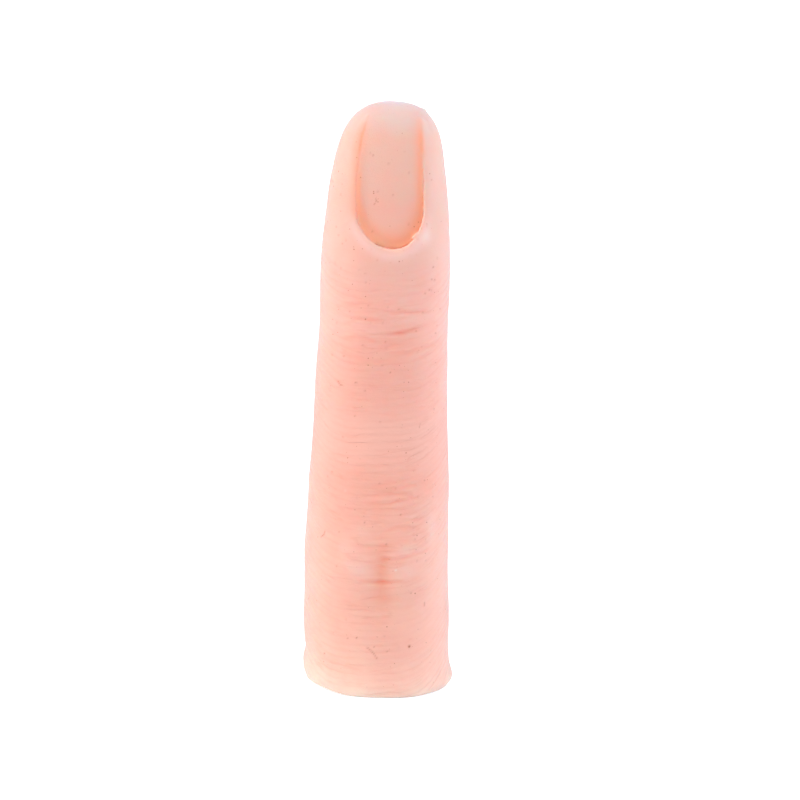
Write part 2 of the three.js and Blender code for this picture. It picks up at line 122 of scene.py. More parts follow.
# Uncoloured ABS, moulded in a spark-eroded tool: cream, half matt, with the tool's fine
# grain of about 0.12 mm and a faint cloudiness from the flow of the melt.
ABS_GRAIN = 0.12 * MM
ABS_GRAIN_DEPTH = 0.02 * MM
ABS_CLOUD = 6 * MM
moulded_abs, tree = start_material("moulded_abs")
place = add_node(tree, "ShaderNodeTexCoord").outputs["Object"]
cloud = add_noise(tree, place, ABS_CLOUD, 3).outputs["Fac"]
grain = add_noise(tree, place, ABS_GRAIN, 2).outputs["Fac"]
finish_material(tree, {
    "Base Color": mix(tree, cloud, "#e6dfcc", "#f0ebdd"),
    "Roughness": spread(tree, grain, 0, 1, 0.4, 0.5),
    "IOR": 1.54,
    "Normal": bump(tree, grain, ABS_GRAIN_DEPTH, strength=0.35),
    "Subsurface Weight": 0.15,
    "Subsurface Scale": 0.6 * MM,
})

for bone in ("base_bone", "middle_bone", "tip_bone"):
    coat(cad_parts[bone], moulded_abs)

# Hinge hardware. Each knuckle turns on an M2 pan-head screw, held by a split spring washer
# and a hexagon nut, all in zinc-plated steel. They are tightened until the hinge drags
# enough to stay where it is bent. The silicone hides them.

# Zinc plate over machined steel: bright and slightly blue, with turning marks about 0.1 mm
# apart round each piece's axis, which break up the reflections.
TURNING_MARKS = 0.1 * MM
TURNING_DEPTH = 0.01 * MM
ZINC_DULLING = 0.8 * MM
zinc_plate, tree = start_material("zinc_plated_steel")
place = add_node(tree, "ShaderNodeTexCoord").outputs["Object"]
turning = add_node(
    tree, "ShaderNodeTexWave",
    {"Vector": place, "Scale": wave_scale(TURNING_MARKS), "Distortion": 0.6, "Detail": 1},
    wave_type="RINGS", rings_direction="X")
dulling = add_noise(tree, place, ZINC_DULLING, 3).outputs["Fac"]
finish_material(tree, {
    "Base Color": "#c6cace",
    "Metallic": 1,
    "Roughness": spread(tree, dulling, 0, 1, 0.22, 0.4),
    "Normal": bump(tree, turning.outputs["Fac"], TURNING_DEPTH, strength=0.3),
})

for knuckle in ("middle", "tip"):
    for piece in ("screw", "washer", "nut"):
        coat(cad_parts[f"{knuckle}_hinge_{piece}"], zinc_plate)

# Silicone skin. The finger is one casting in soft skin-toned silicone, poured round the bones
# in a mould taken from an adult index finger, so it keeps that finger's wrinkles and ridges.
# A core in the mould leaves the slot under the cuticle, and the base is cut flat by hand.
FINGER_LENGTH = 80.0
DOME_HEIGHT = 8.0
MIDDLE_JOINT = 19.5
TIP_JOINT = 51.0
SEAM_HEIGHT = 36.0

# Height above the cut base, half width, depth of the back, depth of the pad, and how far the
# section's centre is off towards the pad and to the right, in mm
sections = np.array([
    (0.0, 9.72, 8.75, 8.85, 0.0, 0.6),
    (1.5, 10.1, 8.98, 9.0, 0.0, 0.55),
    (3.0, 9.98, 8.85, 8.9, 0.0, 0.48),
    (4.4, 9.9, 8.7, 8.75, 0.0, 0.42),
    (8.9, 9.98, 8.75, 8.8, 0.0, 0.25),
    (13.6, 9.86, 8.8, 8.5, 0.0, 0.08),
    (19.5, 9.78, 8.9, 8.1, 0.0, -0.03),
    (23.9, 9.65, 8.5, 8.5, 0.0, 0.0),
    (28.3, 9.52, 8.05, 8.8, 0.0, 0.0),
    (34.0, 9.18, 7.7, 8.7, 0.0, -0.05),
    (40.0, 8.98, 7.5, 8.2, 0.0, -0.08),
    (46.0, 8.8, 7.4, 7.6, 0.0, -0.05),
    (51.0, 8.64, 7.45, 7.0, 0.0, -0.02),
    (55.4, 8.68, 7.3, 7.4, 0.0, -0.05),
    (60.0, 8.6, 6.95, 7.8, 0.1, -0.05),
    (64.9, 8.22, 6.4, 7.8, 0.22, -0.02),
    (69.6, 7.72, 5.65, 7.4, 0.4, 0.0),
    (72.0, 7.32, 5.05, 7.0, 0.54, 0.05),
    (80.0, 5.95, 3.2, 4.6, 1.0, 0.42),
])
BACK_POWER = 2.35
PAD_POWER = 2.1
DOME_POWER = 2.9


def smooth_through(where, at, value):
    """Value at each place of a smooth curve through a table's rows."""
    slope = np.gradient(value, at)
    i = np.clip(np.searchsorted(at, where) - 1, 0, len(at) - 2)
    step = at[i + 1] - at[i]
    t = np.clip((where - at[i]) / step, 0, 1)
    return ((2 * t ** 3 - 3 * t ** 2 + 1) * value[i] + (t ** 3 - 2 * t ** 2 + t) * step * slope[i]
            + (3 * t ** 2 - 2 * t ** 3) * value[i + 1] + (t ** 3 - t ** 2) * step * slope[i + 1])


def smoothstep(value, low, high):
    """0 below low, 1 above high and a smooth rise between them."""
    t = np.clip((value - low) / (high - low), 0, 1)
    return t * t * (3 - 2 * t)


def hump(value, middle, half):
    """1 at the middle, falling smoothly to about a third at a half width to either side."""
    return np.exp(-((value - middle) / half) ** 2)


def half_sections(height, shrink):
    """The table's five sizes at each height, with the width and the depths shrunk."""
    width, back, pad, centre, side = (
        smooth_through(height, sections[:, 0], sections[:, column]) for column in range(1, 6))
    return width * shrink, back * shrink, pad * shrink, centre, side


def dome_shrink(height):
    """The share of its full size that the section has at each height of the dome."""
    above = np.clip((height - FINGER_LENGTH + DOME_HEIGHT) / DOME_HEIGHT, 0, 1)
    return (1 - above ** DOME_POWER) ** (1 / DOME_POWER)


def points_of(obj):
    """An object's points in mm, as rows of right, to the pad side, and up."""
    flat = np.empty(3 * len(obj.data.vertices))
    obj.data.vertices.foreach_get("co", flat)
    return flat.reshape(-1, 3) / MM


def normals_of(obj):
    flat = np.empty(3 * len(obj.data.vertices))
    obj.data.vertex_normals.foreach_get("vector", flat)
    return flat.reshape(-1, 3)


def move_points(obj, points):
    obj.data.vertices.foreach_set("co", (points * MM).ravel())
    obj.data.update()


# The blank: a sphere's rings, spread over the cut base, up the sides and over the dome
BLANK_SEGMENTS = 220
BLANK_RINGS = 380
BASE_SHARE = 0.07
SIDE_SHARE = 0.83
bpy.ops.mesh.primitive_uv_sphere_add(segments=BLANK_SEGMENTS, ring_count=BLANK_RINGS, radius=MM)
skin = bpy.context.object
skin.name = "skin"
points = points_of(skin)
direction = np.arctan2(points[:, 1], points[:, 0])
rise = 0.5 + np.arcsin(np.clip(points[:, 2], -1, 1)) / math.pi
over_dome = np.clip((rise - SIDE_SHARE) / (1 - SIDE_SHARE), 0, 1) * math.pi / 2
height = np.interp(rise, [BASE_SHARE, SIDE_SHARE], [0, FINGER_LENGTH - DOME_HEIGHT])
height += DOME_HEIGHT * np.sin(over_dome) ** (2 / DOME_POWER)
shrink = np.cos(over_dome) ** (2 / DOME_POWER) * np.clip(rise / BASE_SHARE, 0, 1)
width, back, pad, centre, side = half_sections(height, shrink)
across, away = np.cos(direction), np.sin(direction)
power = np.where(away > 0, PAD_POWER, BACK_POWER)
points[:, 0] = width * np.sign(across) * np.abs(across) ** (2 / power) + side
points[:, 1] = np.where(away > 0, pad, back) * np.sign(away) * np.abs(away) ** (2 / power) + centre
points[:, 2] = height
move_points(skin, points)

# The slot for a nail tip: the bed's arch is left standing in a nail-shaped opening, and the
# slot runs on under the cuticle and under both side folds.
CUTICLE = 61.7
CUTICLE_ARCH = 4.9
CUTICLE_POCKET = 2.4
CUTICLE_SKEW = 0.45
# Height, half width and offset to the right of the nail's opening above the cuticle's arch
nail_sides = np.array([
    (CUTICLE + CUTICLE_ARCH, 4.38, 0.34), (70.8, 4.38, 0.25), (73.4, 4.19, 0.22), (76.0, 3.9, 0.25),
    (78.2, 3.48, 0.45), (79.4, 3.0, 0.5),
])
SIDE_POCKET = 0.35
SIDE_POCKET_END = 72.0
SIDE_POCKET_FADE = 4.0
BED_RADIUS = 14.0
BED_END = 79.0
RECESS = 0.85
SLOT_THICKNESS = 0.3
OPENING_DEPTH = 20.0
OPENING_OVERRUN = 4.0
BED_OVERRUN = 3.0
BED_STEP = 0.6
# A shred of flash hangs over the cuticle's right corner, between two heights above the arch's
# start, and from a share of the half width outwards
FLASH_REACH = 0.42
FLASH_INNER_END = 0.2
FLASH_LOW = 1.5
FLASH_HIGH = 2.2


def bed_crest(height):
    """How far in front of the finger's axis the nail bed's crest lies, in mm."""
    low = np.minimum(height, BED_END)
    _, back, _, centre, _ = half_sections(low, dome_shrink(low))
    return centre - back + RECESS * (BED_END - np.maximum(height, CUTICLE)) / (BED_END - CUTICLE)


def nail_centre(height, low):
    """How far to the right the middle of a nail's outline lies, whose arch starts at low."""
    below = np.clip((low + CUTICLE_ARCH - height) / CUTICLE_ARCH, 0, 1)
    return np.interp(height, nail_sides[:, 0], nail_sides[:, 2]) + CUTICLE_SKEW * below ** 2


def cut_across(obj, axis, levels):
    """Cuts an object's faces at levels along an axis, in mm, and gives its points then."""
    bpy.ops.object.mode_set(mode="EDIT")
    for level in levels:
        bpy.ops.mesh.select_all(action="SELECT")
        place = tuple(part * level * MM for part in axis)
        bpy.ops.mesh.bisect(plane_co=place, plane_no=axis, threshold=1e-7)
    bpy.ops.object.mode_set(mode="OBJECT")
    return points_of(obj)


def nail_opening(pocket, low, flash=0.0):
    """A block with a nail's outline, from its arch at low to past the tip."""
    bpy.ops.mesh.primitive_cylinder_add(vertices=192, radius=MM, depth=OPENING_DEPTH * MM)
    opening = bpy.context.object
    # The sides are cut at many levels, so that they can curve
    side_levels = [percent / 100 for percent in range(30, 80, 5)]
    points = cut_across(opening, (0, 1, 0), side_levels)
    across, up = points[:, 0].copy(), points[:, 1].copy()
    arch_end = low + CUTICLE_ARCH
    length = np.where(up < 0, CUTICLE_ARCH, FINGER_LENGTH + OPENING_OVERRUN - arch_end)
    height = arch_end + length * up
    half = np.interp(height, nail_sides[:, 0], nail_sides[:, 1])
    half += pocket * np.clip((SIDE_POCKET_END - height) / SIDE_POCKET_FADE, 0, 1)
    # The lower half of the circle becomes the cuticle's arch and the upper half straight sides
    points[:, 0] = nail_centre(height, low) + half * np.where(up < 0, across, np.clip(2 * across, -1, 1))
    at_flash = (across > FLASH_INNER_END) & (height > low + FLASH_LOW) & (height < low + FLASH_HIGH)
    points[:, 0] -= np.where(at_flash, flash, 0)
    points[:, 1] = points[:, 2] - OPENING_DEPTH / 2
    points[:, 2] = height
    move_points(opening, points)
    bpy.ops.object.mode_set(mode="EDIT")
    bpy.ops.mesh.select_all(action="SELECT")
    bpy.ops.mesh.normals_make_consistent(inside=False)
    bpy.ops.object.mode_set(mode="OBJECT")
    return opening


def bed_arch(thickness):
    """The nail bed's arch, raised by a thickness, as a rod that follows the bed's crest."""
    low, high = CUTICLE - CUTICLE_POCKET, FINGER_LENGTH + BED_OVERRUN
    bpy.ops.mesh.primitive_cylinder_add(
        vertices=180, radius=(BED_RADIUS + thickness) * MM, depth=(high - low) * MM,
        location=(0, 0, (low + high) / 2 * MM))
    arch = bpy.context.object
    bpy.ops.object.transform_apply()
    points = cut_across(arch, (0, 0, 1), np.arange(low + BED_STEP, high, BED_STEP))
    points[:, 0] += nail_centre(points[:, 2], CUTICLE)
    points[:, 1] += bed_crest(points[:, 2]) + BED_RADIUS
    move_points(arch, points)
    return arch


def make_active(obj):
    bpy.ops.object.select_all(action="DESELECT")
    bpy.context.view_layer.objects.active = obj
    obj.select_set(True)


def combine(target, tool, operation):
    """Joins a tool to the target, cuts it out, or keeps what both share, and removes the tool."""
    make_active(target)
    modifier = target.modifiers.new("combine", "BOOLEAN")
    modifier.object, modifier.operation, modifier.solver = tool, operation, "MANIFOLD"
    bpy.ops.object.modifier_apply(modifier=modifier.name)
    bpy.data.objects.remove(tool)
    return target


slot = nail_opening(SIDE_POCKET, CUTICLE - CUTICLE_POCKET)
combine(slot, bed_arch(SLOT_THICKNESS), "INTERSECT")
combine(slot, nail_opening(0, CUTICLE, FLASH_REACH), "UNION")
combine(slot, bed_arch(0), "DIFFERENCE")
combine(skin, slot, "DIFFERENCE")


def nail_gap(points):
    """Distance from the nail's outline across the back, in mm, less than 0 inside it."""
    across = np.abs(points[:, 0] - nail_centre(points[:, 2], CUTICLE))
    half = np.interp(points[:, 2], nail_sides[:, 0], nail_sides[:, 1])
    below = np.maximum(CUTICLE + CUTICLE_ARCH - points[:, 2], 0) / CUTICLE_ARCH
    return (np.hypot(across / half, below) - 1) * np.where(below > 0, CUTICLE_ARCH, half)


# The casting's edges are as soft as the mould's, so the skin is remeshed in fine cells and
# smoothed, all but the cut base's edge. The nail bed, the folds' ends and the left half of
# the cuticle's rim are the smoothest.
SKIN_CELL = 0.2
SOFT_FROM = (0.5, 1.4)
LEFT_RIM_UP = (61.2, 63.5)
LEFT_RIM_ACROSS = (-2.6, -0.4)
LEFT_RIM_EDGE = -6
FOLD_ENDS_UP = (74.5, 77.5)
BED_INSIDE = (0.4, 0.9)
skin.data.remesh_voxel_size = SKIN_CELL * MM
bpy.ops.object.voxel_remesh()
points = points_of(skin)
x, y, z = points.T
left_rim = smoothstep(z, *LEFT_RIM_UP) * (1 - smoothstep(x, *LEFT_RIM_ACROSS)) * (x > LEFT_RIM_EDGE)
fold_ends = smoothstep(z, *FOLD_ENDS_UP)
bed = smoothstep(-nail_gap(points), *BED_INSIDE) * (z > CUTICLE)
for name, weights, rounds in (
        ("soft", smoothstep(z, *SOFT_FROM), 5),
        ("softest", np.clip(fold_ends + left_rim + bed, 0, 1) * (y < 0), 12)):
    group = skin.vertex_groups.new(name=name)
    for i, weight in enumerate(weights.tolist()):
        group.add([i], weight, "REPLACE")
    modifier = skin.modifiers.new(name, "SMOOTH")
    modifier.factor, modifier.iterations, modifier.vertex_group = 0.5, rounds, name
    bpy.ops.object.modifier_apply(modifier=modifier.name)
skin.vertex_groups.clear()

# Wrinkles that the mould took over from the finger. Each has its depth and half width in mm
# and its route, as places across and up.
back_wrinkles = [
    (0.06, 0.26, [(-1.9, 29.5), (-0.6, 29.6), (0.5, 29.9), (1.9, 30.3), (3.4, 30.5), (4.8, 30.6)]),
    (0.05, 0.24, [(0.2, 29.4), (2.0, 29.4), (3.4, 29.6), (5.1, 29.8), (7.0, 29.6)]),
    (0.075, 0.24, [(-1.0, 28.3), (0.3, 28.5), (1.7, 28.7), (3.2, 28.7), (4.0, 28.5), (4.6, 28.1),
                   (6.1, 28.0)]),
    (0.08, 0.24, [(-2.0, 27.3), (0.0, 27.3), (1.8, 27.4), (2.9, 27.7), (4.4, 27.9)]),
    (0.04, 0.28, [(-1.7, 25.9), (-0.5, 26.4), (1.8, 26.5), (4.1, 26.3), (5.3, 26.2)]),
    (0.035, 0.24, [(-0.8, 25.4), (0.4, 25.0), (1.4, 24.8)]),
    (0.08, 0.22, [(1.1, 23.6), (1.9, 23.9), (2.7, 24.1), (3.9, 24.1), (5.4, 24.0)]),
    (0.05, 0.24, [(1.6, 21.8), (2.8, 22.1), (4.2, 22.3), (5.8, 22.2)]),
    (0.075, 0.20, [(0.0, 19.5), (0.8, 19.8), (1.9, 19.8), (3.2, 19.9), (4.0, 20.0), (4.9, 20.4),
                   (6.3, 20.6), (7.3, 21.0)]),
    (0.04, 0.28, [(-4.5, 21.7), (-2.7, 21.5), (-1.0, 21.4), (0.2, 21.3)]),
    (0.03, 0.24, [(-4.2, 19.4), (-2.2, 19.2), (0.0, 19.5)]),
    (0.075, 0.22, [(-3.0, 17.4), (-1.7, 16.7), (-0.5, 16.5), (0.9, 16.5), (2.4, 16.6), (3.3, 16.5),
                   (4.4, 16.6), (5.3, 16.9), (6.6, 17.5)]),
    (0.03, 0.24, [(-5.0, 18.8), (-4.0, 18.0), (-2.8, 17.3)]),
    (0.045, 0.26, [(-1.2, 14.3), (-0.2, 14.3), (1.0, 14.1), (2.5, 14.2), (3.9, 13.9)]),
    (0.03, 0.30, [(-4.6, 13.2), (-1.2, 12.7), (2.8, 12.8), (6.0, 13.3)]),
    (0.03, 0.30, [(-3.6, 11.3), (0.4, 11.0), (5.6, 11.4)]),
    (0.025, 0.26, [(-2.8, 56.9), (0.2, 57.0), (3.2, 56.7)]),
    (0.055, 0.24, [(-6.6, 53.4), (-5.3, 54.0), (-3.9, 54.2), (-2.9, 54.5), (-1.7, 55.0)]),
    (0.10, 0.20, [(0.4, 53.6), (1.2, 53.4), (2.6, 53.5), (4.2, 53.4), (5.4, 53.5), (6.6, 53.2)]),
    (0.06, 0.20, [(-5.4, 51.3), (-4.8, 51.6), (-4.2, 51.4)]),
    (0.09, 0.20, [(-4.4, 51.8), (-3.5, 52.3), (-2.5, 52.5), (-1.5, 52.3), (-0.5, 52.4), (0.4, 52.2)]),
    (0.06, 0.20, [(-0.8, 50.3), (0.5, 50.5), (1.9, 50.7), (2.8, 50.9), (3.9, 51.2), (5.1, 51.6),
                  (5.9, 51.9), (7.0, 51.9)]),
    (0.085, 0.20, [(-5.6, 49.5), (-4.5, 49.7), (-3.5, 49.9), (-2.5, 49.8), (-1.6, 49.6), (-0.4, 49.4)]),
    (0.06, 0.24, [(-1.0, 48.8), (0.6, 48.9), (2.0, 49.1), (3.6, 49.2)]),
    (0.07, 0.24, [(0.3, 47.8), (2.0, 47.9), (3.5, 48.0), (4.3, 48.3), (6.0, 48.7), (7.8, 48.8)]),
    (0.06, 0.24, [(-4.6, 47.4), (-2.2, 46.9), (-0.8, 46.8), (0.6, 46.9), (2.2, 47.2)]),
    (0.035, 0.26, [(-4.4, 45.4), (-1.0, 44.8), (2.6, 45.1), (5.6, 45.9)]),
]
# Blushes and pale swellings over the knuckles: half sizes across and up in mm, strength, and
# place. A blush is more than 0 and a pale swelling less.
patches = [
    (1.0, 3.6, 0.38, (0.75, 18.0)), (0.75, 0.5, 0.12, (1.0, 21.3)), (0.6, 0.4, 0.20, (1.3, 19.7)),
    (1.1, 0.4, 0.20, (0.9, 16.5)), (1.5, 1.6, 0.16, (1.2, 14.2)), (0.8, 1.8, 0.10, (-5.5, 20.9)),
    (0.7, 2.0, -0.20, (7.1, 23.6)), (1.5, 0.8, -0.15, (3.8, 21.1)), (1.4, 0.9, -0.12, (3.8, 18.0)),
    (1.3, 1.2, -0.13, (-3.6, 21.0)), (1.2, 1.1, -0.13, (-3.8, 18.7)), (1.0, 0.8, -0.12, (-1.9, 23.4)),
    (0.9, 0.28, 0.30, (2.0, 50.6)), (0.7, 0.24, 0.16, (3.8, 51.1)), (2.4, 1.2, 0.10, (2.4, 49.4)),
    (1.8, 1.0, -0.10, (-2.6, 51.2)), (2.0, 0.8, -0.10, (3.4, 52.3)), (1.3, 1.5, -0.18, (-2.1, 18.4)),
    (0.7, 0.9, -0.25, (5.1, 63.3)),
]
pad_wrinkles = [
    (0.42, 0.50, [(-7.6, 18.6), (-4.0, 17.6), (0.0, 17.4), (4.0, 17.7), (7.6, 18.8)]),
    (0.32, 0.46, [(-7.2, 19.9), (-3.6, 20.2), (0.6, 20.3), (4.2, 20.0), (7.4, 20.4)]),
    (0.14, 0.26, [(-5.2, 22.6), (-1.0, 22.9), (4.6, 22.4)]),
    (0.12, 0.26, [(-5.6, 14.9), (0.2, 14.4), (5.0, 15.0)]),
    (0.38, 0.48, [(-7.0, 51.4), (-3.4, 50.8), (0.2, 50.6), (3.6, 50.9), (7.0, 51.6)]),
    (0.16, 0.26, [(-4.8, 53.0), (0.4, 52.7), (4.4, 53.1)]),
    (0.14, 0.26, [(-4.4, 48.6), (-0.2, 48.3), (4.8, 48.9)]),
    (0.20, 0.30, [(-7.4, 2.9), (-3.0, 2.2), (2.4, 2.1), (7.4, 3.0)]),
]


# Points nearer to the plane between back and pad than this get none of either side's marks
SIDE_MARGIN = 1.0
# A wrinkle is a groove with a puff of skin on each side. A puff's height is a share of the
# groove's depth, and its place and half width are in the groove's half widths. The gains
# raise every wrinkle's depth and the reddish shade painted along its groove.
PUFF_SHARE = 0.35
PUFF_PLACE = 2.3
PUFF_HALF = 1.6
WRINKLE_GAIN = 1.35
CREASE_SHADE_GAIN = 1.8
WRINKLE_STRAY = 0.14
STRAY_LENGTH = 1.3
STRAY_SEED = 1
END_SHARE = 0.02
FADE_POWER = 0.7
CURVE_POINTS = 24
CURVE_MARGIN = 2.5
FAR_AWAY = 9.0


def wrinkle_relief(points, wander, wrinkles, side):
    """Height, and painted reddish shade along the grooves, that the wrinkles on one side give each point.
    """
    relief, redness = np.zeros(len(points)), np.zeros(len(points))
    on_side = np.nonzero(points[:, 1] * side > SIDE_MARGIN)[0]
    place = points[on_side][:, (0, 2)] + wander[on_side]
    for depth, half, route in wrinkles:
        route = np.array(route)
        run = np.insert(np.cumsum(np.hypot(*np.diff(route, axis=0).T)), 0, 0)
        along = np.linspace(0, run[-1], CURVE_POINTS)
        curve = np.stack([smooth_through(along, run, route[:, i]) for i in (0, 1)], axis=1)
        low, high = curve.min(axis=0) - CURVE_MARGIN, curve.max(axis=0) + CURVE_MARGIN
        near = np.nonzero(np.all((place > low) & (place < high), axis=1))[0]
        gap, share = np.full(len(near), FAR_AWAY), np.zeros(len(near))
        for i in range(len(curve) - 1):
            step = curve[i + 1] - curve[i]
            t = np.clip((place[near] - curve[i]) @ step / (step @ step), 0, 1)
            distance = np.hypot(*(place[near] - curve[i] - t[:, None] * step).T)
            share = np.where(distance < gap, (i + t) / (len(curve) - 1), share)
            gap = np.minimum(distance, gap)
        # It fades out at both ends
        share = np.clip(share, END_SHARE, 1 - END_SHARE)
        fade = WRINKLE_GAIN * depth * np.sin(share * math.pi) ** FADE_POWER
        puff = PUFF_SHARE * hump(gap, PUFF_PLACE * half, PUFF_HALF * half)
        relief[on_side[near]] += fade * (puff - hump(gap, 0, half))
        # The redness is painted shade, strongest in the groove and as strong as the wrinkle is deep
        redness[on_side[near]] += fade * CREASE_SHADE_GAIN * hump(gap, 0, PUFF_HALF * half)
    return relief, redness


def all_wrinkles(points):
    """Height, and painted reddish shade along the grooves, that all the wrinkles give each point."""
    # The wrinkles stray a little from their routes, with a seed so that every run is the same
    noise.seed_set(STRAY_SEED)
    strays = [tuple(noise.noise_vector(Vector(p) / STRAY_LENGTH))[:2] for p in points.tolist()]
    wander = np.array(strays) * WRINKLE_STRAY
    back = wrinkle_relief(points, wander, back_wrinkles, -1)
    pad = wrinkle_relief(points, wander, pad_wrinkles, 1)
    return back[0] + pad[0], back[1] + pad[1]


def patch_strength(points):
    """How blushed each point is, or how pale and swollen where it is less than 0."""
    strength = np.zeros(len(points))
    for half_across, half_up, amount, (across, up) in patches:
        patch = amount * hump(points[:, 0], across, half_across) * hump(points[:, 2], up, half_up)
        strength += np.where(points[:, 1] < 0, patch, 0)
    return strength


def depth_under(points):
    """How deep each point lies under the finger's back, in mm."""
    _, back, _, centre, side = half_sections(points[:, 2], dome_shrink(points[:, 2]))
    width = smooth_through(points[:, 2], sections[:, 0], sections[:, 1])
    bulge = 1 - np.clip(np.abs((points[:, 0] - side) / width), 0, 0.99) ** BACK_POWER
    return points[:, 1] - centre + back * bulge ** (1 / BACK_POWER)


WIDE_SWELL = 7.5
WIDE_SWELL_HEIGHT = 0.10
NARROW_SWELL = 2.6
NARROW_SWELL_HEIGHT = 0.035
NARROW_SWELL_SHIFT = Vector((9, 4, 2))
SWELLS_UP = (0.2, 2)


def unevenness(points):
    """The casting's gentle swells, in mm, none of which reach the cut base."""
    wide = [noise.noise(Vector(p) / WIDE_SWELL) for p in points.tolist()]
    narrow = [noise.noise(Vector(p) / NARROW_SWELL + NARROW_SWELL_SHIFT) for p in points.tolist()]
    swell = WIDE_SWELL_HEIGHT * np.array(wide) + NARROW_SWELL_HEIGHT * np.array(narrow)
    return swell * smoothstep(points[:, 2], *SWELLS_UP)


# How far below the cuticle the nail's surroundings start
NAIL_MARGIN = 4
# The folds round the nail stand proud of the finger, less at the left, and fade out upwards
FOLD_HEIGHT = 0.13
FOLD_MIDDLE = 0.9
FOLD_HALF = 1.1
FOLD_FADE_UP = (70, 77)
LEFT_LOSS = 0.5
# With no nail in the slot the folds rest on the bed, which is raised to meet them. It stays
# this deep under the back. It may rise so far everywhere, further at the left, and further
# again there where no fold covers it, the most at its lower end.
BED_CLEARANCE = 0.14
BED_RISE = 0.25
LEFT_RISE = 0.04
LEFT_OPEN_RISE = 0.14
LOW_OPEN_RISE = 0.2
LOW_BED_UP = (66, 70)
OPEN_FADE = 0.1
# How far the rise reaches into the bed, further at the left, and out under the folds. Only
# what faces out rises, and at the left the foot of the fold's wall too.
RISE_IN = 0.5
LEFT_RISE_IN = 0.4
RISE_OUT = 0.7
RISE_END = 1
FACING_OUT = -0.3
WALL_FOOT = 0.08


def near_nail(points):
    return (points[:, 1] < -SIDE_MARGIN) & (points[:, 2] > CUTICLE - NAIL_MARGIN)


def fold_relief(points, gap, left):
    """How far the folds round the nail stand proud at each point."""
    height = FOLD_HEIGHT * hump(gap, FOLD_MIDDLE, FOLD_HALF) * (1 - LEFT_LOSS * left)
    height *= 1 - smoothstep(points[:, 2], *FOLD_FADE_UP)
    return np.where(near_nail(points) & (gap > 0), height, 0)


def bed_lift(points, normal, gap, left):
    """How far each point of the bed rises, and which way."""
    low_bed = 1 - smoothstep(points[:, 2], *LOW_BED_UP)
    in_open = np.clip(1 - gap / OPEN_FADE, 0, 1)
    limit = BED_RISE + left * (LEFT_RISE + (LEFT_OPEN_RISE + LOW_OPEN_RISE * low_bed) * in_open)
    lift = np.clip(depth_under(points) - BED_CLEARANCE, 0, limit)
    lift *= hump(np.minimum(gap, 0), 0, RISE_IN + LEFT_RISE_IN * left)
    lift *= hump(np.maximum(gap, 0), 0, RISE_OUT)
    raised = np.where(normal[:, 1] < FACING_OUT, 1, left * (gap < WALL_FOOT))
    raised = raised * (near_nail(points) & (gap < RISE_END))
    way_up = normal * (1 - left[:, None])
    way_up[:, 1] -= left
    return way_up * (lift * raised)[:, None]


# What the blade that trimmed the base left behind: a lip at the right, and a notch with a
# bulge below it at the left. Each has its height, its middle and half size round the finger,
# in radians from the front, and its middle and half size up.
base_cuts = [
    (0.42, 1.4, 0.36, 1.0, 0.8),
    (-0.16, -1.45, 0.5, 4.6, 0.8),
    (0.10, -1.45, 0.5, 2.8, 0.6),
]
# Where the cut itself rises, as heights, and middles and half sizes round the finger. It
# also waves a little all the way round. The rise fades inwards and upwards.
edge_rises = [(0.5, -1.0, 0.42), (0.12, 0.85, 0.15)]
EDGE_WAVE = 0.05
EDGE_WAVES = 7
EDGE_OUT = (7.5, 9.3)
EDGE_UP = (0.3, 3)
# The mould leaked a little where its halves meet, beside the tip
LEAK_HEIGHT = 0.22
LEAK_HALF = 0.5
LEAK_PLACE = (4.3, 1.0, 79.0)
SWELLING_HEIGHT = 0.6
# Between these two places across, the forms round the nail change from left to right
LEFT_ACROSS = (-1.5, 1)

points = points_of(skin)
normal = normals_of(skin)
around = np.arctan2(points[:, 0], -points[:, 1])
gap = nail_gap(points)
left = 1 - smoothstep(points[:, 0], *LEFT_ACROSS)
relief, _ = all_wrinkles(points)
relief += unevenness(points) - SWELLING_HEIGHT * patch_strength(points)
relief += LEAK_HEIGHT * hump(np.linalg.norm(points - LEAK_PLACE, axis=1), 0, LEAK_HALF)
relief += fold_relief(points, gap, left)
for height, turn, half_turn, level, half_level in base_cuts:
    relief += height * hump(around, turn, half_turn) * hump(points[:, 2], level, half_level)
points += normal * relief[:, None] + bed_lift(points, normal, gap, left)
edge_rise = EDGE_WAVE * np.sin(EDGE_WAVES * around)
for height, turn, half_turn in edge_rises:
    edge_rise += height * hump(around, turn, half_turn)
near_edge = smoothstep(np.hypot(points[:, 0], points[:, 1]), *EDGE_OUT)
near_edge *= 1 - smoothstep(points[:, 2], *EDGE_UP)
points[:, 2] += np.maximum(edge_rise, 0) * near_edge
move_points(skin, points)

# The room that the core takes up inside: root, flange, base bone, the two hinges with their
# hardware, middle bone and paddle. Each has the half sizes along its own axes, and how high
# its middle lies.
CORE_GAP = 0.1
core_room = [
    ("rod", (3.6, 3.6, 2.0), 1.0),
    ("bar", (6.3, 5.2, 0.9), 3.9),
    ("bar", (3.7, 3.5, 8.0), 11.5),
    ("hinge", (4.4, 4.4, 3.7), MIDDLE_JOINT),
    ("hinge", (2.2, 2.2, 4.9), MIDDLE_JOINT),
    ("bar", (3.7, 2.9, 15.75), 35.25),
    ("hinge", (3.6, 3.6, 3.7), TIP_JOINT),
    ("hinge", (2.2, 2.2, 4.9), TIP_JOINT),
    ("bar", (3.1, 1.9, 10.5), 61.5),
]


def add_block(kind, half_sizes, height):
    """A bar, an upright rod, or a rod that lies across the finger as a hinge does."""
    middle = (0, 0, height * MM)
    if kind == "bar":
        bpy.ops.mesh.primitive_cube_add(size=2 * MM, location=middle)
    else:
        turn = (0, math.pi / 2 if kind == "hinge" else 0, 0)
        bpy.ops.mesh.primitive_cylinder_add(
            vertices=48, radius=MM, depth=2 * MM, location=middle, rotation=turn)
    block = bpy.context.object
    block.scale = half_sizes
    bpy.ops.object.transform_apply()
    return block


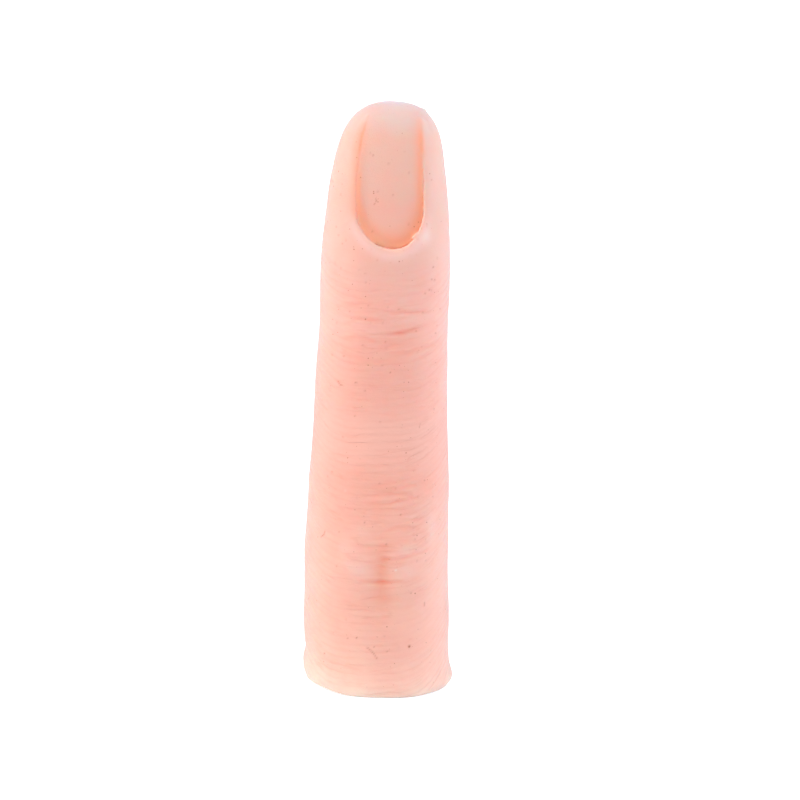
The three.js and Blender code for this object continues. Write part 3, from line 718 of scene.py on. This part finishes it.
room = None
for kind, half_sizes, height in core_room:
    block = add_block(kind, [half + CORE_GAP for half in half_sizes], height)
    room = block if room is None else combine(room, block, "UNION")
combine(skin, room, "DIFFERENCE")

# The casting crosses both knuckles, and a piece here can bend over one joint only, so it is
# shown as two that meet inside the middle segment
CUTTER_HALF = 30
skin_upper = skin
skin_upper.name = "skin_upper"
skin_lower = skin.copy()
skin_lower.data = skin.data.copy()
skin_lower.name = "skin_lower"
bpy.context.collection.objects.link(skin_lower)
for half, operation in ((skin_lower, "INTERSECT"), (skin_upper, "DIFFERENCE")):
    combine(half, add_block("bar", (CUTTER_HALF, CUTTER_HALF, SEAM_HEIGHT), 0), operation)

# Pigment specks, a hair-like scratch and small scuffs, as half widths in mm, strengths and
# routes across the back and up. A pale one has a strength below 0.
marks = [
    (0.14, 1.0, [(4.85, 7.35)]),
    (0.10, 0.35, [(-3.8, 11.0)]),
    (0.12, 0.45, [(-2.3, 8.5)]),
    (0.10, 0.35, [(-3.5, 8.3)]),
    (0.10, 0.4, [(-6.6, 5.5)]),
    (0.11, -0.6, [(-4.4, 28.8)]),
    (0.12, -0.8, [(2.7, 18.3)]),
    (0.10, 0.4, [(-2.8, 28.0)]),
    (0.10, 0.35, [(3.4, 21.7)]),
    (0.10, 0.4, [(5.5, 19.4)]),
    (0.10, 0.35, [(1.1, 45.3)]),
    (0.09, 0.4, [(-2.6, 58.5)]),
    (0.08, 0.35, [(-3.4, 58.9)]),
    (0.09, 0.4, [(5.9, 56.3)]),
    (0.10, 0.45, [(6.3, 59.3)]),
    (0.10, 0.35, [(2.7, 71.6)]),
    (0.08, 0.35, [(2.0, 74.3)]),
    (0.09, 0.4, [(5.7, 70.7)]),
    (0.07, 0.4, [(-7.0, 22.8), (-7.1, 22.3), (-7.5, 21.9)]),
    (0.07, 0.4, [(-5.8, 43.5), (-5.5, 43.1), (-5.0, 43.0)]),
    (0.06, 0.35, [(-3.6, 43.8), (-3.4, 43.6), (-3.2, 43.7)]),
    (0.07, 0.35, [(6.7, 13.4), (6.7, 12.8)]),
    (0.06, 0.3, [(5.3, 38.2), (5.2, 37.6)]),
    (0.06, 0.4, [(-1.6, 68.4), (-1.5, 67.9), (-1.7, 67.4)]),
    (0.08, 0.36, [(-0.9, 7.2), (-0.3, 6.8), (0.1, 6.3), (0.6, 5.6)]),
]
# Faint specks lie all over the back, the most between the tip knuckle and the nail. Each
# patch of them has its lower and upper ends and its number of specks.
SPECK_HALF = 0.11
SPECK_FAINTEST = 0.22
SPECK_RANGE = 0.16
BACK_HALF = 8
scatter = np.random.default_rng(4)
for low, high, count in ((2, 76, 45), (50, 65, 30)):
    for across, up, strength in scatter.random((count, 3)):
        speck = (BACK_HALF * (2 * across - 1), low + (high - low) * up)
        marks.append((SPECK_HALF, SPECK_FAINTEST + SPECK_RANGE * strength, [speck]))


def mark_strength(points):
    """How dark the marks make each point, or how pale where it is less than 0."""
    strength = np.zeros(len(points))
    front = np.nonzero(points[:, 1] < -SIDE_MARGIN)[0]
    place = points[front][:, (0, 2)]
    for half, depth, route in marks:
        route = np.array(route if len(route) > 1 else route * 2)
        gap = np.full(len(place), FAR_AWAY)
        for start, end in zip(route[:-1], route[1:]):
            step = end - start
            t = np.clip((place - start) @ step / max(step @ step, 1e-9), 0, 1)
            gap = np.minimum(gap, np.hypot(*(place - start - t[:, None] * step).T))
        strength[front] += depth * hump(gap, 0, half)
    return strength


# Soft silicone, cast in a skin tone that was mixed by hand and powdered against tack: light
# enters it for a millimetre or so, so it glows warm in folds, and its gloss is a dull sheen.
# It has wisps of pigment, specks of dust and a skin's fine lines, which sweep up at the sides.
# The patterns follow each point's place in the casting, so they bend with it.
# Painted into the colour too: light at the cut base, shade along the wrinkles, rings and fine lines, a glow
# in the nail's grooves and a highlight on its folds.
RING_PITCH = 1.0 * MM
RING_PATCH = 5 * MM
RING_SAG = 0.0005 / MM ** 3
RING_TILT = 0.07
SKIN_LINE_SPACING = 1.15 * MM
SKIN_LINE_STRAY = 1.4 * MM
SKIN_LINE_REACH = (0.7 * MM, 0.7 * MM, 0.55 * MM)
SKIN_LINE_STRETCH = (0.1, 0.1, 1)
SKIN_LINE_PATCH = 3 * MM
FINE_WRINKLE = 0.5 * MM
FINE_STRETCH = (0.3, 0.3, 1)
PORE_SIZE = 0.16 * MM
PIGMENT_WISP = 3.5 * MM
PIGMENT_CLOUD = 14 * MM
SPECK_SPACING = 0.6 * MM
RING_DEPTH = 0.045 * MM
SKIN_LINE_DEPTH = 0.035 * MM
FINE_DEPTH = 0.10 * MM
PORE_DEPTH = 0.03 * MM
CLOUD_TINT = "#fab8a6"
WISP_TINT = "#faae9a"
# Blush over the knuckles, and painted shade along the wrinkles' grooves
BLUSH_AND_CREASE_SHADE = "#f8946f"
# Painted shade in the furrows between the rings
RING_FURROW_SHADE = "#ea9c82"
# Painted shade along the skin's fine lines
SKIN_LINE_SHADE = "#e28f74"
# Painted glow in the nail's grooves
PAINTED_GROOVE_GLOW = "#ffa880"
SPECK_BROWN = "#b04c12"
# Pale marks and swellings, and a painted highlight on the nail's folds
PALE_MARK_AND_FOLD_HIGHLIGHT = "#ffe7e3"
# Skin tone from the cut base up to the tip, by share of the length. The palest stops, at the
# cut base, are painted light that stands in for light thrown up by the floor.
skin_tone_and_base_light = [
    (0.0, "#ffead6"), (0.02, "#ffdcc7"), (0.045, "#ffd0bb"), (0.1, "#ffc5b1"), (0.2, "#ffc4b1"),
    (0.31, "#fcc0ad"), (0.44, "#f7baa7"), (0.69, "#f4c1b1"), (0.84, "#e8bfad"), (0.95, "#ebc4b1"),
    (1.0, "#e6d6d0"),
]
silicone, tree = start_material("cast_silicone")
place = add_node(tree, "ShaderNodeAttribute", attribute_name="cast_place").outputs["Vector"]
redness, painted_glow, marks_and_fold_highlight, glow = (
    add_node(tree, "ShaderNodeAttribute", attribute_name=name).outputs["Fac"]
    for name in ("redness", "painted_glow", "marks_and_fold_highlight", "glow"))
axes = add_node(tree, "ShaderNodeSeparateXYZ", {"Vector": place}).outputs
below_nail = spread(tree, axes["Z"], CUTICLE * MM, (CUTICLE - 5) * MM)

# Rings round the finger, which sag in the middle, lean a little and come and go
across_squared = calculate(tree, "MULTIPLY", axes["X"], axes["X"])
across_fourth = calculate(tree, "MULTIPLY", across_squared, across_squared)
sagged = calculate(tree, "MULTIPLY_ADD", across_fourth, -RING_SAG, axes["Z"])
leaning = calculate(tree, "MULTIPLY_ADD", axes["X"], -RING_TILT, sagged)
ring_place = add_node(tree, "ShaderNodeCombineXYZ", {"X": axes["X"], "Y": axes["Y"], "Z": leaning})
ring_place = ring_place.outputs["Vector"]
wave = add_node(
    tree, "ShaderNodeTexWave",
    {"Vector": ring_place, "Scale": wave_scale(RING_PITCH), "Distortion": 3.0, "Detail": 3,
     "Detail Scale": 0.35, "Detail Roughness": 0.6},
    wave_type="BANDS", bands_direction="Z")
ring_patch = add_noise(tree, place, RING_PATCH, 2).outputs["Fac"]
rings_kept = calculate(tree, "MULTIPLY", spread(tree, ring_patch, 0.35, 0.65, 0.25), below_nail)
furrow = calculate(tree, "POWER", wave.outputs["Fac"], 2.5)
rings = calculate(tree, "MULTIPLY", furrow, rings_kept)

# Fine lines where a noise drawn out across the finger passes its middle value
stray = add_noise(tree, place, SKIN_LINE_STRAY, 3).outputs["Color"]
strayed = add_node(
    tree, "ShaderNodeVectorMath", {0: stray, 1: SKIN_LINE_REACH, 2: ring_place}, operation="MULTIPLY_ADD")
drawn_out = add_node(
    tree, "ShaderNodeMapping", {"Vector": strayed.outputs["Vector"], "Scale": SKIN_LINE_STRETCH})
flow = add_noise(tree, drawn_out.outputs["Vector"], SKIN_LINE_SPACING, 1.5).outputs["Fac"]
off_level = calculate(tree, "ABSOLUTE", calculate(tree, "SUBTRACT", flow, 0.5))
line_patch = add_noise(tree, place, SKIN_LINE_PATCH, 3).outputs["Fac"]
line_strength = spread(tree, line_patch, 0.36, 0.64)
skin_line = spread(tree, off_level, 0, 0.03, 1, 0, "SMOOTHSTEP")
skin_lines = calculate(tree, "MULTIPLY", skin_line, calculate(tree, "MULTIPLY", line_strength, below_nail))

# Dust, as one round speck in most of the pattern's cells, larger where the lines are strong
dust = add_node(tree, "ShaderNodeTexVoronoi", {"Vector": place, "Scale": 1 / SPECK_SPACING}).outputs
dust_kind = add_node(tree, "ShaderNodeSeparateColor", {"Color": dust["Color"]}).outputs["Red"]
dust_size = calculate(tree, "MULTIPLY", spread(tree, dust_kind, 0.3, 1, 0, 0.2), line_strength)
dust_share = calculate(tree, "MULTIPLY", calculate(tree, "LESS_THAN", dust["Distance"], dust_size), 0.5)

# The colour, from the pigment up to the marks on top of it, with painted light at the cut
# base, painted shade in the wrinkles, rings and lines, painted glow in the nail's grooves and
# a painted highlight on its folds
shades = add_node(tree, "ShaderNodeValToRGB", {"Fac": spread(tree, axes["Z"], 0, FINGER_LENGTH * MM)})
stops = shades.color_ramp.elements
for share, shade in skin_tone_and_base_light[1:-1]:
    stops.new(share).color = linear(shade)
stops[0].color, stops[-1].color = linear(skin_tone_and_base_light[0][1]), linear(skin_tone_and_base_light[-1][1])
cloud = add_noise(tree, place, PIGMENT_CLOUD, 2).outputs["Fac"]
wisp = add_noise(tree, place, PIGMENT_WISP, 5, 0.65).outputs["Fac"]
colour = shades.outputs["Color"]
for share, tint in (
        (spread(tree, cloud, 0.45, 0.75, 0, 0.5), CLOUD_TINT),
        (spread(tree, wisp, 0.42, 0.8, 0, 0.3), WISP_TINT),
        # blush, and painted shade along the wrinkles' grooves
        (redness, BLUSH_AND_CREASE_SHADE),
        # painted shade in the furrows between the rings
        (calculate(tree, "MULTIPLY", rings, 0.12), RING_FURROW_SHADE),
        # painted shade along the fine lines
        (calculate(tree, "MULTIPLY", skin_lines, 0.22), SKIN_LINE_SHADE),
        # painted glow in the nail's grooves
        (painted_glow, PAINTED_GROOVE_GLOW),
        (dust_share, SPECK_BROWN),
        (spread(tree, marks_and_fold_highlight, 0, 0.8), SPECK_BROWN),
        # pale marks and swellings, and a painted highlight on the nail's folds
        (spread(tree, marks_and_fold_highlight, 0, -1), PALE_MARK_AND_FOLD_HIGHLIGHT)):
    colour = mix(tree, share, colour, tint)

# The relief, from the rings down to the pores
flattened = add_node(tree, "ShaderNodeMapping", {"Vector": place, "Scale": FINE_STRETCH})
fine = add_noise(tree, flattened.outputs["Vector"], FINE_WRINKLE, 4, 0.6).outputs["Fac"]
fine_height = calculate(tree, "MULTIPLY", fine, spread(tree, below_nail, 0, 1, 0.3))
pores = add_noise(tree, place, PORE_SIZE, 2).outputs["Fac"]
normal = bump(tree, rings, RING_DEPTH, invert=True)
normal = bump(tree, skin_lines, SKIN_LINE_DEPTH, normal, invert=True)
normal = bump(tree, fine_height, FINE_DEPTH, normal)
normal = bump(tree, pores, PORE_DEPTH, normal)
finish_material(tree, {
    "Base Color": colour,
    "Roughness": spread(tree, wisp, 0, 1, 0.5, 0.66),
    "IOR": 1.41,
    "Normal": normal,
    "Subsurface Weight": glow,
    "Subsurface Radius": (1.0, 0.42, 0.28),
    "Subsurface Scale": 1.8 * MM,
    "Sheen Weight": 0.4,
    "Sheen Roughness": 0.45,
    "Sheen Tint": "#f6ecff",
})


# A warm glow of light is painted into the nail's grooves. It reaches furthest into the bed at
# the cuticle, less far along the sides, the least at the left and near the tip, and a little
# way out over the folds.
GLOW_STRENGTH = 0.95
LEFT_STRENGTH_GAIN = 0.05
RIGHT_STRENGTH_GAIN = -0.1
GLOW_IN = 2.0
LEFT_LOSS_IN = 1.45
RIGHT_LOSS_IN = 1.0
TIP_LOSS_IN = 0.3
GLOW_OUT = 0.6
TIP_LOSS_OUT = 0.25
BESIDE_UP = (CUTICLE + 2, CUTICLE + 7)
NEAR_TIP_UP = (71, 75)
GLOW_END_UP = (76, 79.4)
# The depths between which a groove comes to glow. Near the tip a shallow one glows too.
GROOVE_DEPTHS = (0.02, 0.22)
SHALLOW_GLOW = 0.85
SHALLOW_UP = (72.5, 75)
# The left fold's slope gets painted glow as well
SLOPE_GLOW = 0.5
SLOPE_MIDDLE = 0.3
SLOPE_HALF = 0.8
SLOPE_UP = (64, 67)
# The folds get a painted highlight, the most at the cuticle, and only where they aren't sunk
HIGHLIGHT_STRENGTH = 0.3
PALE_MIDDLE = 0.8
PALE_HALF = 0.75
PALE_LOSS = 0.7
PALE_LOSS_UP = (63, 67)
PALE_DEPTH = 0.3


def nail_colours(points):
    """How much painted glow the nail's grooves get at each point, and how much painted highlight the folds
    get.
    """
    x, y, z = points.T
    gap = nail_gap(points)
    sunk = depth_under(points)
    at_nail = (y < 0) & (z > CUTICLE - CUTICLE_POCKET)
    beside = smoothstep(z, *BESIDE_UP)
    near_tip = smoothstep(z, *NEAR_TIP_UP)
    reach_in = GLOW_IN - beside * np.where(x < 0, LEFT_LOSS_IN, RIGHT_LOSS_IN) - TIP_LOSS_IN * near_tip
    reach = np.where(gap > 0, GLOW_OUT - TIP_LOSS_OUT * near_tip, reach_in)
    strength = GLOW_STRENGTH + beside * np.where(x < 0, LEFT_STRENGTH_GAIN, RIGHT_STRENGTH_GAIN)
    deep = np.maximum(smoothstep(sunk, *GROOVE_DEPTHS), SHALLOW_GLOW * smoothstep(z, *SHALLOW_UP))
    groove = strength * deep * hump(gap, 0, reach)
    slope = SLOPE_GLOW * hump(gap, SLOPE_MIDDLE, SLOPE_HALF) * (x < 0) * smoothstep(z, *SLOPE_UP)
    groove = np.maximum(groove, slope) * (1 - smoothstep(z, *GLOW_END_UP))
    fold_highlight = HIGHLIGHT_STRENGTH * hump(gap, PALE_MIDDLE, PALE_HALF) * (1 - PALE_LOSS * smoothstep(z, *PALE_LOSS_UP))
    return np.where(at_nail, groove, 0), np.where(at_nail & (sunk < PALE_DEPTH), fold_highlight, 0)


# How far from the seam the glow starts and is full, and its share at the base, from where it
# grows upwards
SEAM_FADE = (1.2, 6.0)
BASE_GLOW = 0.4
BASE_FADE = (1, 16)


def depth_of_glow(points):
    """How much light the silicone takes in at each point: less at the seam and at the base."""
    away_from_seam = smoothstep(np.abs(points[:, 2] - SEAM_HEIGHT), *SEAM_FADE)
    return away_from_seam * (BASE_GLOW + (1 - BASE_GLOW) * smoothstep(points[:, 2], *BASE_FADE))


def store(obj, name, values):
    attribute = obj.data.attributes.new(name, "FLOAT", "POINT")
    attribute.data.foreach_set("value", values.astype(np.float32))


for half in (skin_lower, skin_upper):
    points = points_of(half)
    _, redness = all_wrinkles(points)
    patch = patch_strength(points)
    painted_glow, fold_highlight = nail_colours(points)
    # Painted glow in the nail's grooves
    store(half, "painted_glow", painted_glow)
    # Blush, and painted shade along the wrinkles' grooves
    store(half, "redness", np.clip(redness + np.maximum(patch, 0), 0, 1))
    # Marks and pale swellings, with the painted highlight on the nail's folds
    store(half, "marks_and_fold_highlight", np.clip(mark_strength(points) + np.minimum(patch, 0) - fold_highlight, -1, 1))
    cast_place = half.data.attributes.new("cast_place", "FLOAT_VECTOR", "POINT")
    cast_place.data.foreach_set("vector", (points * MM).astype(np.float32).ravel())
    store(half, "glow", depth_of_glow(points))
    coat(half, silicone)
    make_active(half)
    bpy.ops.object.shade_smooth_by_angle(angle=math.radians(65))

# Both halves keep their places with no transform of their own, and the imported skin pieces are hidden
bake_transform(skin_lower)
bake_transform(skin_upper)
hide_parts("middle_knuckle_skin", "base_skin")
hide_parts("fingertip_skin", "tip_knuckle_skin", "middle_skin")

# Floor, of matt white laminate. It takes the soft shadow under the cut base, and the camera
# sees it nearly as white as the surround.
bpy.ops.mesh.primitive_plane_add(size=8, location=(0, 0, -0.02 * MM))
floor = bpy.context.object
floor.name = "floor"
bpy.ops.object.transform_apply()
white_laminate, tree = start_material("white_laminate")
camera_ray = add_node(tree, "ShaderNodeLightPath").outputs["Is Camera Ray"]
matt = add_node(tree, "ShaderNodeBsdfDiffuse", {"Color": "#f6f6f6"}).outputs["BSDF"]
bright = add_node(tree, "ShaderNodeEmission", {"Color": "#ffffff", "Strength": 0.6}).outputs["Emission"]
lifted = add_node(tree, "ShaderNodeAddShader", {0: matt, 1: bright}).outputs["Shader"]
seen = add_node(tree, "ShaderNodeMixShader", {0: camera_ray, 1: matt, 2: lifted}).outputs["Shader"]
add_node(tree, "ShaderNodeOutputMaterial", {"Surface": seen})
coat(floor, white_laminate)

# Studio light: a white surround, a large warm softbox to the left and a cooler one to the
# right, both a little in front of the finger, so that its front is the darker part.
world = bpy.data.worlds.new("surround")
bpy.context.scene.world = world
world.use_nodes = True
tree = world.node_tree
tree.nodes.clear()
ray = add_node(tree, "ShaderNodeLightPath").outputs
dim = add_node(tree, "ShaderNodeBackground", {"Color": "#fffafb", "Strength": 0.54}).outputs["Background"]
white = add_node(tree, "ShaderNodeBackground", {"Color": "#ffffff", "Strength": 1.0}).outputs["Background"]
mirrored = calculate(tree, "MAXIMUM", ray["Is Camera Ray"], ray["Is Glossy Ray"])
direct = calculate(tree, "MAXIMUM", mirrored, ray["Is Transmission Ray"])
shown = add_node(tree, "ShaderNodeMixShader", {0: direct, 1: dim, 2: white}).outputs["Shader"]
add_node(tree, "ShaderNodeOutputWorld", {"Surface": shown})

TARGET = Vector((2.5, 0, 39.6)) * MM


def direction_to(azimuth, climb):
    """The way out from the finger, at an angle to the right of its front and one upwards."""
    level = math.cos(climb)
    return Vector((math.sin(azimuth) * level, -math.cos(azimuth) * level, math.sin(climb)))


def aim(obj, place, lean=0.0):
    """Puts a lamp or the camera at a place, pointing at the finger's middle and leaning over."""
    back = (place - TARGET).normalized()
    right = Vector((0, 0, 1)).cross(back).normalized()
    up = back.cross(right)
    right, up = right * math.cos(lean) + up * math.sin(lean), up * math.cos(lean) - right * math.sin(lean)
    for column, axis in enumerate((right, up, back, place)):
        for row in range(3):
            obj.matrix_world[row][column] = axis[row]


# The softboxes have one size and one distance. Each has its angle to the right of the front and
# its angle upwards in degrees, its colour, and its power in watts.
SOFTBOX_WIDTH = 350 * MM
SOFTBOX_HEIGHT = 500 * MM
SOFTBOX_DISTANCE = 600 * MM
for name, azimuth, elevation, colour, power in (
        ("softbox_left", -72, 26, "#fff9fc", 2.8), ("softbox_right", 80, 20, "#deecff", 2.6)):
    lamp = bpy.data.lights.new(name, "AREA")
    lamp.shape, lamp.size, lamp.size_y = "RECTANGLE", SOFTBOX_WIDTH, SOFTBOX_HEIGHT
    lamp.energy, lamp.color = power, linear(colour)[:3]
    softbox = bpy.data.objects.new(name, lamp)
    bpy.context.collection.objects.link(softbox)
    aim(softbox, TARGET + direction_to(math.radians(azimuth), math.radians(elevation)) * SOFTBOX_DISTANCE)

# Camera, 450 mm from the finger and 15 degrees above it, straight in front. It leans by the
# small angle that the finger leans by in the photograph.
CAMERA_DISTANCE = 450 * MM
CAMERA_CLIMB = math.radians(15)
CAMERA_LEAN = math.radians(1.9)
camera = bpy.data.objects.new("camera", bpy.data.cameras.new("camera"))
camera.data.lens = 150
camera.data.sensor_width = 36
camera.data.clip_start = 0.01
bpy.context.collection.objects.link(camera)
aim(camera, TARGET + direction_to(0, CAMERA_CLIMB) * CAMERA_DISTANCE, CAMERA_LEAN)
bpy.context.scene.camera = camera
bpy.context.scene.view_settings.view_transform = "Standard"
